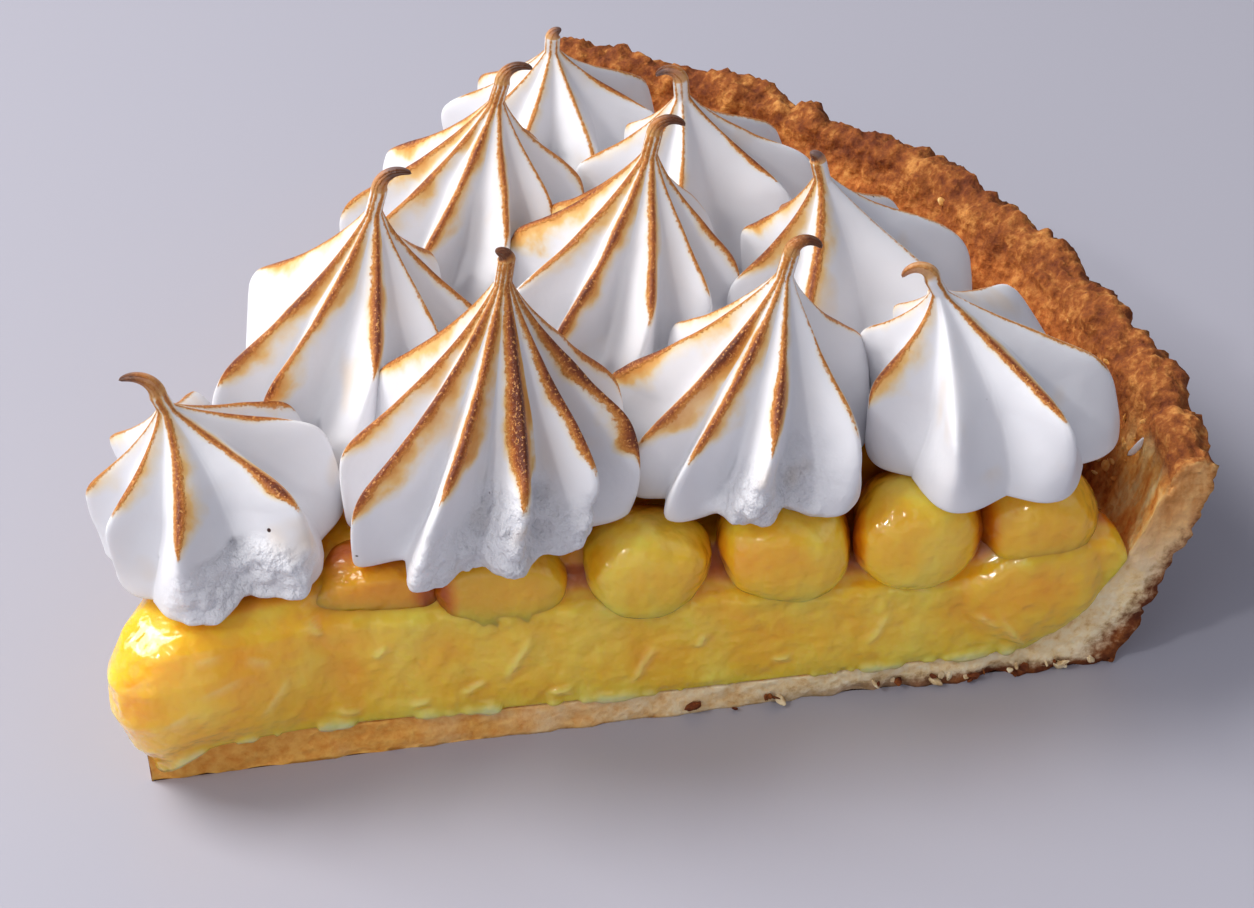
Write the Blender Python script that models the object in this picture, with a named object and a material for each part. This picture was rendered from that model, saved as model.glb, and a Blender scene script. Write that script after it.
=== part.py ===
"""A slice of lemon meringue pie: crust, curd, piped drops of curd and piped meringue kisses."""

import math
from math import cos, hypot, pi, radians, sin, sqrt

import bmesh
import bpy
from mathutils import Vector, noise

# The slice: a sixth of a 24 cm tart. Lengths are in metres, measured from the slice's point,
# with +X along the middle of the slice towards the crust and Z = 0 under the crust
SLICE_ANGLE = radians(61)
HALF_ANGLE = SLICE_ANGLE / 2
POINT_TO_ORIGIN = 0.062
TART_CENTRE = (0.013, 0.0078)
GAP = 0.0003

# The crust: a floor and a leaning wall, thicker at its foot
RIM_HEIGHT = 0.0272
RIM_RADIUS = 0.1148
FOOT_RADIUS = 0.1053
FLOOR_THICKNESS = 0.0036
WALL_THICKNESS = 0.0045
FILLET = 0.0080
FILLET_POWER = 3.5
WALL_LEVELS = 6
CRUST_STEPS = 40
CRAG_SIZE = 0.0045
CRAG_DEPTH = 0.0016

# The curd: a layer that thins towards the crust, with a bed in its middle that carries the meringue
CURD_TOP_AT_POINT = 0.0218
CURD_FALL = 0.089
DECK_AT_POINT = 0.0210
DECK_RISE = 0.0062
DECK_LENGTH = 0.038
LEDGE = 0.0122
NOSE_TANGENT = 0.006
NOSE_BULGE = 0.0066
NOSE_LENGTH = 0.014
SEAT_START = 0.0093
SEAT_END = 0.0276
BACK_AT = 0.122
OUTLINE_SEGMENTS = 48

# The drops of curd: balls that stand on the ledge, along both cuts and along the crust
DROP_RADIUS = 0.0074
DROP_INSET = 0.0044
DROP_CENTRE_HEIGHT = 0.0208
RAMP_CLEARANCE = 0.0012
RAMP_LENGTH = 0.045
FRONT_DROPS = (0.0268, 0.0406, 0.0570, 0.0732, 0.0880, 0.1018)
REAR_DROP_START = 0.0280
REAR_DROP_PITCH = 0.0144
REAR_DROP_COUNT = 7
RIM_DROP_RADIUS = 0.0990
RIM_DROP_START = radians(-26)
RIM_DROP_PITCH = radians(8.9)
RIM_DROP_COUNT = 6

# The kisses: place, widest radius, height, share of the height at which the ridges flare into wings,
# how far the peak leans along LEAN_SIDE, and the side to which its tip hooks
LEAN_SIDE = Vector((0.779, -0.627, 0))
KISSES = (
    (0.0157, 0.0048, 0.0146, 0.0234, 0.48, -0.0048, -1),
    (0.0412, -0.0102, 0.0184, 0.0325, 0.30, 0.0036, -1),
    (0.0396, 0.0147, 0.0172, 0.0315, 0.36, 0.0058, 1),
    (0.0677, -0.0246, 0.0172, 0.0285, 0.30, 0.0042, 1),
    (0.0709, 0.0024, 0.0168, 0.0305, 0.36, 0.0045, 1),
    (0.0663, 0.0272, 0.0164, 0.0290, 0.38, 0.0058, 1),
    (0.0903, -0.0395, 0.0166, 0.0228, 0.46, -0.0070, -1),
    (0.0903, -0.0163, 0.0154, 0.0268, 0.42, -0.0038, -1),
    (0.0893, 0.0108, 0.0150, 0.0268, 0.46, -0.0010, -1),
    (0.0865, 0.0358, 0.0152, 0.0232, 0.46, 0.0012, 1),
)
RIDGES = 9
RIDGE_SEGMENTS = 4
KISS_RINGS = 12
UNDERSIDE_RINGS = 2
TENT_POWER = 1.25
FOOT_TUCK = 0.25
STRAIGHT_SKIRT = 0.60
RIDGE_DEPTH_FOOT = 0.12
RIDGE_DEPTH_PEAK = 0.34
TWIST = 0.35
HOOK_START = 0.85
HOOK_RADIUS = 0.0016
HOOK_TURN = radians(125)
STEM_RADIUS = 0.0013
STEM_TAPER = 0.5


def empty_scene():
    for thing in list(bpy.data.objects):
        bpy.data.objects.remove(thing, do_unlink=True)


def material(name, colour, roughness):
    finish = bpy.data.materials.new(name)
    finish.use_nodes = True
    shader = finish.node_tree.nodes["Principled BSDF"]
    shader.inputs["Base Color"].default_value = (*colour, 1)
    shader.inputs["Roughness"].default_value = roughness
    shader.inputs["Metallic"].default_value = 0.0
    return finish


def new_piece(name, bm, finish, place=(0, 0, 0)):
    """Turn a bmesh, given about its own place, into a named piece of the slice."""
    bmesh.ops.remove_doubles(bm, verts=bm.verts, dist=1e-6)
    bmesh.ops.recalc_face_normals(bm, faces=bm.faces)
    mesh = bpy.data.meshes.new(name)
    bm.to_mesh(mesh)
    bm.free()
    mesh.materials.append(finish)
    mesh.shade_smooth()
    mesh.set_sharp_from_angle(angle=radians(50))
    piece = bpy.data.objects.new(name, mesh)
    piece.location = place
    piece.parent = slice_point
    slice_collection.objects.link(piece)
    return piece


def direction(angle):
    return Vector((cos(angle), sin(angle), 0))


def reach(angle, radius):
    """Distance from the slice's point, along angle, to the circle of radius about the tart's centre."""
    along = TART_CENTRE[0] * cos(angle) + TART_CENTRE[1] * sin(angle)
    offset = hypot(*TART_CENTRE)
    return along + sqrt(along ** 2 + radius ** 2 - offset ** 2)


def wall_outer(z):
    """Radius of the crust's outer face: a cone that widens evenly from foot to rim."""
    return FOOT_RADIUS + (RIM_RADIUS - FOOT_RADIUS) * z / RIM_HEIGHT


def wall_inner(z):
    """Radius of the inner face: the outer one less a thickness that grows into a fillet at the floor."""
    low = min(1.0, max(0.0, (RIM_HEIGHT - z) / (RIM_HEIGHT - FLOOR_THICKNESS)))
    return wall_outer(z) - WALL_THICKNESS - FILLET * low ** FILLET_POWER


def deck(x):
    """Height on which the kisses stand: it rises from the point and levels out towards the crust."""
    return DECK_AT_POINT + DECK_RISE * (1 - math.exp(-x / DECK_LENGTH))


def ledge(x):
    """Height of the curd where it is cut, falling evenly towards the crust, and always below the deck."""
    return min(CURD_TOP_AT_POINT - CURD_FALL * x, deck(x) - 2 * GAP)


def seat(x):
    """Top of the curd near the cuts: level with the first kiss at the point, then a ramp to the ledge."""
    share = min(1.0, max(0.0, (x - SEAT_START) / (SEAT_END - SEAT_START)))
    return (deck(x) - 2 * GAP) * (1 - share) + ledge(x) * share


def crust_section():
    """Section of the crust as radius and height, counter-clockwise from its foot."""
    levels = [RIM_HEIGHT * step / WALL_LEVELS for step in range(WALL_LEVELS + 1)]
    outer = [(wall_outer(z), z) for z in levels]
    crown = ((wall_outer(RIM_HEIGHT) + wall_inner(RIM_HEIGHT)) / 2, RIM_HEIGHT + WALL_THICKNESS / 5)
    inner_levels = [FLOOR_THICKNESS + (RIM_HEIGHT - FLOOR_THICKNESS) * step / WALL_LEVELS
                    for step in range(WALL_LEVELS, -1, -1)]
    inner = [(wall_inner(z), z) for z in inner_levels]
    floor_edge = wall_inner(FLOOR_THICKNESS)
    floor = [(floor_edge * share, FLOOR_THICKNESS) for share in (0.66, 0.33, 0)]
    under = [(floor_edge * share, 0) for share in (0, 0.33, 0.66)]
    return outer + [crown] + inner + floor + under


def crags(place):
    """Depth of the crumbly relief at a place: smooth noise of two sizes, outwards positive."""
    coarse = noise.noise(place / CRAG_SIZE)
    fine = noise.noise(place / (CRAG_SIZE / 2) + Vector((7, 3, 1)))
    return CRAG_DEPTH * (coarse + 0.5 * fine)


def make_crust(finish):
    """Spin the section through the slice's angle, then centre its circles on the tart's own centre."""
    bm = bmesh.new()
    start = direction(-HALF_ANGLE)
    corners = [bm.verts.new(start * radius + Vector((0, 0, z))) for radius, z in crust_section()]
    rim_line = [bm.edges.new((a, b)) for a, b in zip(corners, corners[1:] + corners[:1])]
    bmesh.ops.spin(bm, geom=corners + rim_line, cent=(0, 0, 0), axis=(0, 0, 1), dvec=(0, 0, 0),
                   angle=SLICE_ANGLE, steps=CRUST_STEPS, use_merge=False, use_duplicate=False)
    bmesh.ops.remove_doubles(bm, verts=bm.verts, dist=1e-6)
    bmesh.ops.holes_fill(bm, edges=[edge for edge in bm.edges if edge.is_boundary], sides=0)
    floor_edge = wall_inner(FLOOR_THICKNESS)
    for vert in bm.verts:
        radius = hypot(vert.co.x, vert.co.y)
        angle = math.atan2(vert.co.y, vert.co.x)
        z = vert.co.z
        if radius > floor_edge:
            outwards = (radius - wall_inner(z)) / (wall_outer(z) - wall_inner(z))
            rough = max(0.0, outwards) * min(1.0, z / CRAG_SIZE)
            depth = crags(vert.co.copy())
            distance = reach(angle, radius) + depth * rough
            z += depth * max(0.0, z / RIM_HEIGHT) ** 6
        else:
            distance = reach(angle, floor_edge) * radius / floor_edge
        vert.co = direction(angle) * distance + Vector((0, 0, z))
    return new_piece("crust", bm, finish)


def wedge_point(share, inset, back):
    """Point at a share of the way round the slice's outline, inset from its cuts, its back on a circle.

    The outline runs along the front cut, round the back, home along the rear cut, and round the nose,
    where an arc touches both cuts at NOSE_TANGENT from their corner.
    """
    corner = Vector((inset / sin(HALF_ANGLE), 0, 0))
    side_share, back_share = 0.3, 0.25
    ends = []
    for side in (-HALF_ANGLE, HALF_ANGLE):
        way = direction(side)
        offset = corner - Vector((*TART_CENTRE, 0))
        along = -offset.dot(way)
        ends.append(corner + way * (along + sqrt(along ** 2 + back ** 2 - offset.length_squared)))
    if share < side_share:
        begin = corner + direction(-HALF_ANGLE) * NOSE_TANGENT
        return begin.lerp(ends[0], share / side_share)
    if share < side_share + back_share:
        turned = [math.atan2(end.y - TART_CENTRE[1], end.x - TART_CENTRE[0]) for end in ends]
        angle = turned[0] + (turned[1] - turned[0]) * (share - side_share) / back_share
        return Vector((*TART_CENTRE, 0)) + direction(angle) * back
    if share < 2 * side_share + back_share:
        finish = corner + direction(HALF_ANGLE) * NOSE_TANGENT
        return ends[1].lerp(finish, (share - side_share - back_share) / side_share)
    nose_share = 1 - 2 * side_share - back_share
    turn = (share - 2 * side_share - back_share) / nose_share
    angle = pi / 2 + HALF_ANGLE + (pi - SLICE_ANGLE) * turn
    middle = corner + Vector((NOSE_TANGENT / cos(HALF_ANGLE), 0, 0))
    return middle + direction(angle) * NOSE_TANGENT * math.tan(HALF_ANGLE)


def curd_rings():
    """Rings of the curd from its underside to its top: inset, height as a function of x, and nose bulge."""
    bottom = FLOOR_THICKNESS + GAP

    def side(share):
        return lambda x: bottom + (ledge(x) - bottom) * share

    def bed(x):
        return deck(x) - GAP

    return (
        (0.0100, side(0), 0.0),
        (GAP, side(0), 0.55),
        (0.0, side(0.2), 0.9),
        (0.0, side(0.45), 1.0),
        (0.0, side(0.7), 0.95),
        (0.0, side(0.92), 0.6),
        (0.0006, side(1), 0.4),
        (0.0030, seat, 0.2),
        (LEDGE - 0.0008, seat, 0.0),
        (LEDGE, bed, 0.0),
        (0.0220, bed, 0.0),
    )


def make_curd(finish):
    """Shape a sphere's rings into the curd's: each ring is the slice's outline at its own inset."""
    rings = curd_rings()
    bm = bmesh.new()
    bmesh.ops.create_uvsphere(bm, u_segments=OUTLINE_SEGMENTS, v_segments=len(rings) + 1, radius=1)
    for vert in bm.verts:
        latitude = 1 - math.acos(max(-1, min(1, vert.co.z))) / pi
        ring = round(latitude * (len(rings) + 1))
        if ring in (0, len(rings) + 1):
            middle = Vector((RIM_RADIUS * 0.62, 0, 0))
            height = rings[min(ring, len(rings) - 1)][1](middle.x)
            vert.co = middle + Vector((0, 0, height))
            continue
        inset, height, bulge = rings[ring - 1]
        share = round(math.atan2(vert.co.y, vert.co.x) / (2 * pi) * OUTLINE_SEGMENTS) % OUTLINE_SEGMENTS
        back_height = height(BACK_AT)
        back = wall_inner(back_height) - 2 * GAP - max(0.0, inset - GAP)
        place = wedge_point(share / OUTLINE_SEGMENTS, inset, back)
        away = place - Vector((NOSE_LENGTH, 0, 0))
        near = math.exp(-(place.length / NOSE_LENGTH) ** 2)
        place += away.normalized() * NOSE_BULGE * bulge * near
        vert.co = Vector((place.x, place.y, height(place.x)))
    return new_piece("curd", bm, finish)


def inset_place(distance, side):
    """Place of a drop at a distance along a cut; side is -1 for the front cut and 1 for the rear one."""
    inwards = Vector((sin(HALF_ANGLE), -side * cos(HALF_ANGLE), 0))
    return direction(side * HALF_ANGLE) * distance + inwards * DROP_INSET


def drop_places():
    """Every drop's name and place: the front cut's as the knife left them, the others evenly spaced."""
    places = {}
    for number, distance in enumerate(FRONT_DROPS, 1):
        places[f"drop_front_{number}"] = inset_place(distance, -1)
    for number in range(REAR_DROP_COUNT):
        distance = REAR_DROP_START + REAR_DROP_PITCH * number
        places[f"drop_rear_{number + 1}"] = inset_place(distance, 1)
    for number in range(RIM_DROP_COUNT):
        angle = RIM_DROP_START + RIM_DROP_PITCH * number
        places[f"drop_rim_{number + 1}"] = Vector((*TART_CENTRE, 0)) + direction(angle) * RIM_DROP_RADIUS
    return places


def keep_apart(spot, place, others, width):
    """Push a spot back behind the upright planes midway to the neighbours nearer than width."""
    for other in others:
        away = other - place
        if 0 < away.length < width:
            past = (spot - place).dot(away.normalized()) - (away.length - GAP) / 2
            if past > 0:
                spot = spot - away.normalized() * past
    return spot


def keep_inside_wall(spot):
    """Push a spot back inside the crust's inner face at its own height."""
    centre = Vector((*TART_CENTRE, spot.z))
    limit = wall_inner(min(spot.z, RIM_HEIGHT)) - 2 * GAP
    outwards = spot - centre
    if outwards.length > limit:
        spot = centre + outwards.normalized() * limit
    return spot


def keep_off_bed(spot):
    """Push a spot out of the raised bed, towards the nearer cut or the crust."""
    front = spot.x * sin(HALF_ANGLE) + spot.y * cos(HALF_ANGLE)
    rear = spot.x * sin(HALF_ANGLE) - spot.y * cos(HALF_ANGLE)
    from_centre = Vector((spot.x - TART_CENTRE[0], spot.y - TART_CENTRE[1], 0))
    back = wall_inner(spot.z) - from_centre.length
    free = LEDGE - 0.0008 - GAP
    if min(front, rear, back) <= free:
        return spot
    if front == min(front, rear, back):
        return spot - Vector((sin(HALF_ANGLE), cos(HALF_ANGLE), 0)) * (front - free)
    if rear == min(front, rear, back):
        return spot - Vector((sin(HALF_ANGLE), -cos(HALF_ANGLE), 0)) * (rear - free)
    return spot + from_centre.normalized() * (back - free)


def make_drop(name, place, places, finish):
    """Flatten a ball where it meets the ledge below, the meringue above and its neighbours."""
    bm = bmesh.new()
    bmesh.ops.create_uvsphere(bm, u_segments=12, v_segments=6, radius=DROP_RADIUS)
    bmesh.ops.translate(bm, verts=bm.verts, vec=place + Vector((0, 0, DROP_CENTRE_HEIGHT)))
    for vert in bm.verts:
        spot = keep_apart(vert.co.copy(), place, places.values(), 2.4 * DROP_RADIUS)
        spot = keep_inside_wall(keep_off_bed(spot))
        lift = GAP + RAMP_CLEARANCE * max(0.0, 1 - spot.x / RAMP_LENGTH)
        spot.z = min(max(spot.z, seat(spot.x) + lift), deck(spot.x) - GAP)
        vert.co = spot - place
    return new_piece(name, bm, finish, place)


def kiss_spot(azimuth, latitude, radius, height, wing, lean, hook):
    """Point of a kiss about its own place.

    Below the wings the skirt tucks in to the foot, less the taller it is; above them the kiss is a concave tent. Its girth is
    scored by valleys that follow the absolute sine of the azimuth, so that the ridges between them are
    sharp, and the whole twists as it climbs. The last part of the way bends over in a hook.
    """
    tuck = FOOT_TUCK * (1 - wing / STRAIGHT_SKIRT)
    underside = UNDERSIDE_RINGS / KISS_RINGS
    climb = (latitude - underside) / (1 - underside)
    if climb <= 0:
        foot = radius * (1 - tuck) * latitude / underside
        scored = foot * (1 - RIDGE_DEPTH_FOOT * abs(sin(RIDGES * azimuth / 2)))
        return direction(azimuth) * scored
    rise = min(1.0, climb / HOOK_START)
    above = max(0.0, (rise - wing) / (1 - wing))
    below = max(0.0, 1 - rise / wing)
    girth = (1 - above) ** TENT_POWER * (1 - tuck * below ** 2)
    depth = RIDGE_DEPTH_FOOT + (RIDGE_DEPTH_PEAK - RIDGE_DEPTH_FOOT) * (1 - below)
    scored = radius * girth * (1 - depth * abs(sin(RIDGES * azimuth / 2)))
    turned = direction(azimuth + TWIST * rise)
    neck = height - HOOK_RADIUS
    spine = LEAN_SIDE * lean * rise ** 1.6 + Vector((0, 0, neck * rise))
    if climb <= HOOK_START:
        return spine + turned * max(scored, STEM_RADIUS)
    along = (climb - HOOK_START) / (1 - HOOK_START)
    bend = along * HOOK_TURN
    sideways = LEAN_SIDE * hook
    spine += sideways * HOOK_RADIUS * (1 - cos(bend)) + Vector((0, 0, HOOK_RADIUS * sin(bend)))
    across = sideways * cos(bend) - Vector((0, 0, sin(bend)))
    level = Vector((0, 0, 1)).cross(sideways)
    stem = STEM_RADIUS * (1 - STEM_TAPER * along) if latitude < 1 else 0
    return spine + (across * turned.dot(sideways) + level * turned.dot(level)) * stem


def make_kiss(name, kiss, places, finish):
    """Shape a sphere into a piped kiss, flattened where it leans on its neighbours."""
    place = Vector((*kiss[:2], 0))
    radius = kiss[2]
    bm = bmesh.new()
    bmesh.ops.create_uvsphere(bm, u_segments=RIDGES * RIDGE_SEGMENTS, v_segments=KISS_RINGS, radius=1)
    for vert in bm.verts:
        azimuth = math.atan2(vert.co.y, vert.co.x)
        latitude = 1 - math.acos(max(-1, min(1, vert.co.z))) / pi
        spot = place + kiss_spot(azimuth, latitude, *kiss[2:])
        spot = keep_apart(spot, place, places, 2.4 * radius)
        spot.z += deck(spot.x)
        vert.co = keep_inside_wall(spot) - place
    return new_piece(name, bm, finish, place)


empty_scene()
slice_collection = bpy.data.collections.new("lemon_meringue_pie")
bpy.context.scene.collection.children.link(slice_collection)
slice_point = bpy.data.objects.new("slice_point", None)
slice_point.location = (-POINT_TO_ORIGIN, 0, 0)
slice_collection.objects.link(slice_point)

make_crust(material("baked_crust", (0.62, 0.36, 0.13), 0.75))
make_curd(material("lemon_curd", (0.90, 0.55, 0.02), 0.25))

drop_curd = material("piped_curd", (0.92, 0.58, 0.02), 0.2)
all_drops = drop_places()
for drop_name, drop_place in all_drops.items():
    make_drop(drop_name, drop_place, all_drops, drop_curd)

meringue = material("meringue", (0.92, 0.89, 0.86), 0.5)
kiss_places = [Vector((kiss[0], kiss[1], 0)) for kiss in KISSES]
for kiss_number, kiss in enumerate(KISSES, 1):
    make_kiss(f"kiss_{kiss_number}", kiss, kiss_places, meringue)
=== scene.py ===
import itertools
import math
from dataclasses import dataclass

import bmesh
import bpy
import numpy as np
from mathutils import Matrix, Vector


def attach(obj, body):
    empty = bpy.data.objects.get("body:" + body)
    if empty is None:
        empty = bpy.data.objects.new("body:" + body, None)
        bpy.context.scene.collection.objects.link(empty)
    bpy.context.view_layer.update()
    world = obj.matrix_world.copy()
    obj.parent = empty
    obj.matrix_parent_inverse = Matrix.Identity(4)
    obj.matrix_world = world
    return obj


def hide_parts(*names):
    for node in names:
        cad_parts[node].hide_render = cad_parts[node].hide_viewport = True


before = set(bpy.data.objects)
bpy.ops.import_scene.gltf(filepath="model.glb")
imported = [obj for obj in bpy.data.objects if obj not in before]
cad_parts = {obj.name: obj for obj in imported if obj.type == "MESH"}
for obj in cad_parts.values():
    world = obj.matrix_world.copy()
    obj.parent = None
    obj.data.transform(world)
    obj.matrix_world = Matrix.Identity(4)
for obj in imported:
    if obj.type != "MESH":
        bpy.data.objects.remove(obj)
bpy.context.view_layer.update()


# The view. The slice stands on a pale top in soft daylight, which comes from behind its left side.
# It is seen from in front and above, from about the distance of someone who sits down to eat it.
VIEW_TARGET = Vector((0.0048, -0.0035, 0.015))
VIEW_AZIMUTH = math.radians(-38.83)
VIEW_ELEVATION = math.radians(36.69)
VIEW_ROLL = math.radians(-1.40)
VIEW_DISTANCE = 0.320
VIEW_LENS = 76.08
TOP_SIZE = 6.0
DAYLIGHT = (0.90, 0.92, 1.0)


def aimed(azimuth, elevation, distance, roll=0.0):
    """Place and turn of a thing that looks at the target: azimuth 0 looks along +Y, as a matrix."""
    back = Vector((math.sin(azimuth) * math.cos(elevation),
                   -math.cos(azimuth) * math.cos(elevation), math.sin(elevation)))
    level = Vector((math.cos(azimuth), math.sin(azimuth), 0))
    upright = back.cross(level)
    right = level * math.cos(roll) + upright * math.sin(roll)
    up = back.cross(right)
    turn = Matrix((right, up, back)).transposed().to_4x4()
    return Matrix.Translation(VIEW_TARGET + back * distance) @ turn


def add_window(name, azimuth, elevation, distance, size, power, colour):
    """A square area light that looks at the target."""
    light = bpy.data.lights.new(name, "AREA")
    light.size = size
    light.energy = power
    light.color = colour
    window = bpy.data.objects.new(name, light)
    window.matrix_world = aimed(math.radians(azimuth), math.radians(elevation), distance)
    bpy.context.scene.collection.objects.link(window)


camera_data = bpy.data.cameras.new("view")
camera_data.lens = VIEW_LENS
camera_data.clip_start = 0.01
camera = bpy.data.objects.new("view", camera_data)
camera.matrix_world = aimed(VIEW_AZIMUTH, VIEW_ELEVATION, VIEW_DISTANCE, VIEW_ROLL)
bpy.context.scene.collection.objects.link(camera)
bpy.context.scene.camera = camera
bpy.context.scene.view_settings.view_transform = "Standard"

add_window("window_behind", 212, 48, 0.9, 0.45, 9.6, (1.0, 0.98, 0.95))
add_window("window_left", 270, 35, 1.0, 0.8, 1.8, DAYLIGHT)
add_window("window_right", 35, 40, 1.1, 0.9, 1.0, DAYLIGHT)
add_window("window_front", -45, 6, 0.9, 0.8, 1.3, (1.0, 0.97, 0.94))
add_window("window_near", -92, 44, 0.8, 0.07, 1.1, (1.0, 0.98, 0.95))

sky = bpy.data.worlds.new("room")
sky.use_nodes = True
sky.node_tree.nodes["Background"].inputs["Color"].default_value = (0.86, 0.88, 1.0, 1)
sky.node_tree.nodes["Background"].inputs["Strength"].default_value = 0.33
bpy.context.scene.world = sky


class Value:
    """A socket of a finish's nodes. Arithmetic on it adds Math nodes, also with a plain number first."""

    def __init__(self, finish, socket):
        self.finish = finish
        self.socket = socket

    def combined(self, operation, first, second):
        return self.finish.node("ShaderNodeMath", {"operation": operation}, {0: first, 1: second})

    def __add__(self, other):
        return self.combined("ADD", self, other)

    def __radd__(self, other):
        return self.combined("ADD", other, self)

    def __sub__(self, other):
        return self.combined("SUBTRACT", self, other)

    def __rsub__(self, other):
        return self.combined("SUBTRACT", other, self)

    def __mul__(self, other):
        return self.combined("MULTIPLY", self, other)

    def __rmul__(self, other):
        return self.combined("MULTIPLY", other, self)


class Finish:
    """A material round one Principled shader, whose even properties are set by name at the start."""

    def __init__(self, name, properties):
        self.material = bpy.data.materials.new(name)
        self.material.use_nodes = True
        self.tree = self.material.node_tree
        self.shader = self.tree.nodes["Principled BSDF"]
        for socket, value in properties.items():
            self.shader.inputs[socket].default_value = value

    def node(self, kind, settings, inputs, output=0):
        """Add a node: its settings first, or its stops on a ramp, then each socket's value or link."""
        node = self.tree.nodes.new(kind)
        for name, setting in settings.items():
            if name == "stops":
                ramp = node.color_ramp
                while len(ramp.elements) < len(setting):
                    ramp.elements.new(1.0)
                for element, (position, colour) in zip(ramp.elements, setting):
                    element.position = position
                    element.color = (*colour, 1)
            else:
                setattr(node, name, setting)
        for name, value in inputs.items():
            self.feed(node.inputs[name], value)
        return Value(self, node.outputs[output])

    def feed(self, socket, value):
        if isinstance(value, Value):
            self.tree.links.new(value.socket, socket)
        else:
            socket.default_value = value

    def shade(self, **sockets):
        """Feed what varies to the shader's sockets, with _ for the spaces in their names."""
        for name, value in sockets.items():
            self.feed(self.shader.inputs[name.replace("_", " ")], value)

    def place(self):
        """The place on the object, in metres."""
        return self.node("ShaderNodeTexCoord", {}, {}, "Object")

    def attribute(self, name):
        """A number that the mesh carries at each point."""
        return self.node("ShaderNodeAttribute", {"attribute_name": name}, {}, "Fac")

    def grain(self, size, detail, where=None, contrast=0.5):
        """Noise from 0 to 1 whose lumps are about that size in metres, with that many finer layers."""
        spot = self.place() if where is None else where
        return self.node("ShaderNodeTexNoise", {}, {
            "Vector": spot, "Scale": 1 / size, "Detail": detail, "Roughness": contrast}, 0)

    def stretched(self, scale, turn):
        """The place, scaled and turned: a small scale draws a pattern out into streaks along that axis."""
        return self.node("ShaderNodeMapping", {}, {
            "Vector": self.place(), "Rotation": turn, "Scale": scale})

    def cells(self, size):
        """Distance from the nearest of the random points that lie about that far apart, in cell widths."""
        return self.node("ShaderNodeTexVoronoi", {}, {
            "Vector": self.place(), "Scale": 1 / size}, "Distance")

    def between(self, value, low, high):
        """0 below low and 1 above high, with a smooth step between them."""
        return self.node("ShaderNodeMapRange", {"interpolation_type": "SMOOTHSTEP"}, {
            "Value": value, "From Min": low, "From Max": high})

    def mix(self, first, second, share):
        """First colour at share 0, second at share 1."""
        first, second = ((*side, 1) if isinstance(side, tuple) else side for side in (first, second))
        return self.node("ShaderNodeMix", {"data_type": "RGBA"}, {0: share, 6: first, 7: second}, 2)

    def ramp(self, share, stops):
        """Colour that runs through the stops, each a position and a colour."""
        return self.node("ShaderNodeValToRGB", {"stops": stops}, {"Fac": share})

    def relief(self, height, depth, under=None):
        """Bump of that depth in metres, over another one if given."""
        inputs = {"Height": height, "Distance": depth, "Strength": 1.0}
        if under is not None:
            inputs["Normal"] = under
        return self.node("ShaderNodeBump", {}, inputs)


def new_mesh(name, points, quads, finish, values):
    """Put points and quads into a mesh, weld what coincides, turn its faces outwards and shade it smooth."""
    mesh = bpy.data.meshes.new(name)
    mesh.from_pydata(points.tolist(), [], quads.tolist())
    for value_name, numbers in values.items():
        layer = mesh.attributes.new(value_name, "FLOAT", "POINT")
        layer.data.foreach_set("value", numbers.ravel().astype(np.float32))
    bm = bmesh.new()
    bm.from_mesh(mesh)
    bmesh.ops.remove_doubles(bm, verts=bm.verts, dist=2e-6)
    bmesh.ops.recalc_face_normals(bm, faces=bm.faces)
    bm.to_mesh(mesh)
    bm.free()
    mesh.shade_smooth()
    mesh.materials.append(finish.material)
    piece = bpy.data.objects.new(name, mesh)
    bpy.context.scene.collection.objects.link(piece)
    return piece


def grid_quads(rows, columns, closed=False):
    """Quads of a grid whose points are numbered row by row; closed joins the last column to the first."""
    row, column = np.meshgrid(np.arange(rows - 1), np.arange(columns if closed else columns - 1),
                              indexing="ij")
    here = row * columns + column
    beside = row * columns + (column + 1) % columns
    return np.stack([here, beside, beside + columns, here + columns], -1).reshape(-1, 4)


glazed_top = Finish("pale_top", {"Roughness": 0.40, "Base Color": (0.385, 0.38, 0.44, 1)})
half = TOP_SIZE / 2
top_points = np.array([(-half, -half, 0), (half, -half, 0), (half, half, 0), (-half, half, 0)])
table_top = new_mesh("pale_top", top_points, np.array([[0, 1, 2, 3]]), glazed_top, {})


# The crust: short pastry pressed into a tart ring and baked, then cut by a knife into sixths. Its floor
# runs to the slice's point, where it is thickest, and its wall leans out to a craggy rim. It is browned
# outside, golden inside and pale on the cuts, which the knife left crumbly.
SLICE_POINT = np.array([-0.062, 0.0, 0.0])
HALF_ANGLE = math.radians(61) / 2
TART_CENTRE = np.array([0.013, 0.0078])
GAP = 0.0003
RIM_HEIGHT = 0.0272
RIM_RADIUS = 0.1148
FOOT_RADIUS = 0.1053
FLOOR_THICKNESS = 0.0036
POINT_THICKENING = 0.0017
THICKENING_LENGTH = 0.040
WALL_THICKNESS = 0.0045
FILLET = 0.0080
FILLET_POWER = 3.5
FLOOR_SHARE = 0.62
FLOOR_STEPS = 92
WALL_STEPS = 72
ARC_STEPS = 255
THICKNESS_STEPS = 10
CRAG_SIZE = 0.0075
CRAG_DEPTH = 0.0009
CRUMB_SIZE = 0.0021
CRUMB_DEPTH = 0.00055
RIM_CROWN_START = 0.93
CUT_CRUMB_SIZE = 0.0016
CUT_DEPTH = 0.00022
UNDERCUT_SIZE = 0.0024
UNDERCUT_DEPTH = 0.0007
UNDERCUT_HEIGHT = 0.0030
# Distances from the slice's point between which the undercut begins
UNDERCUT_START = (0.055, 0.085)
INNER_CRAGS_START = 0.72
CUT_START = 0.985
SLICE_LENGTH = 0.12


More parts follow.
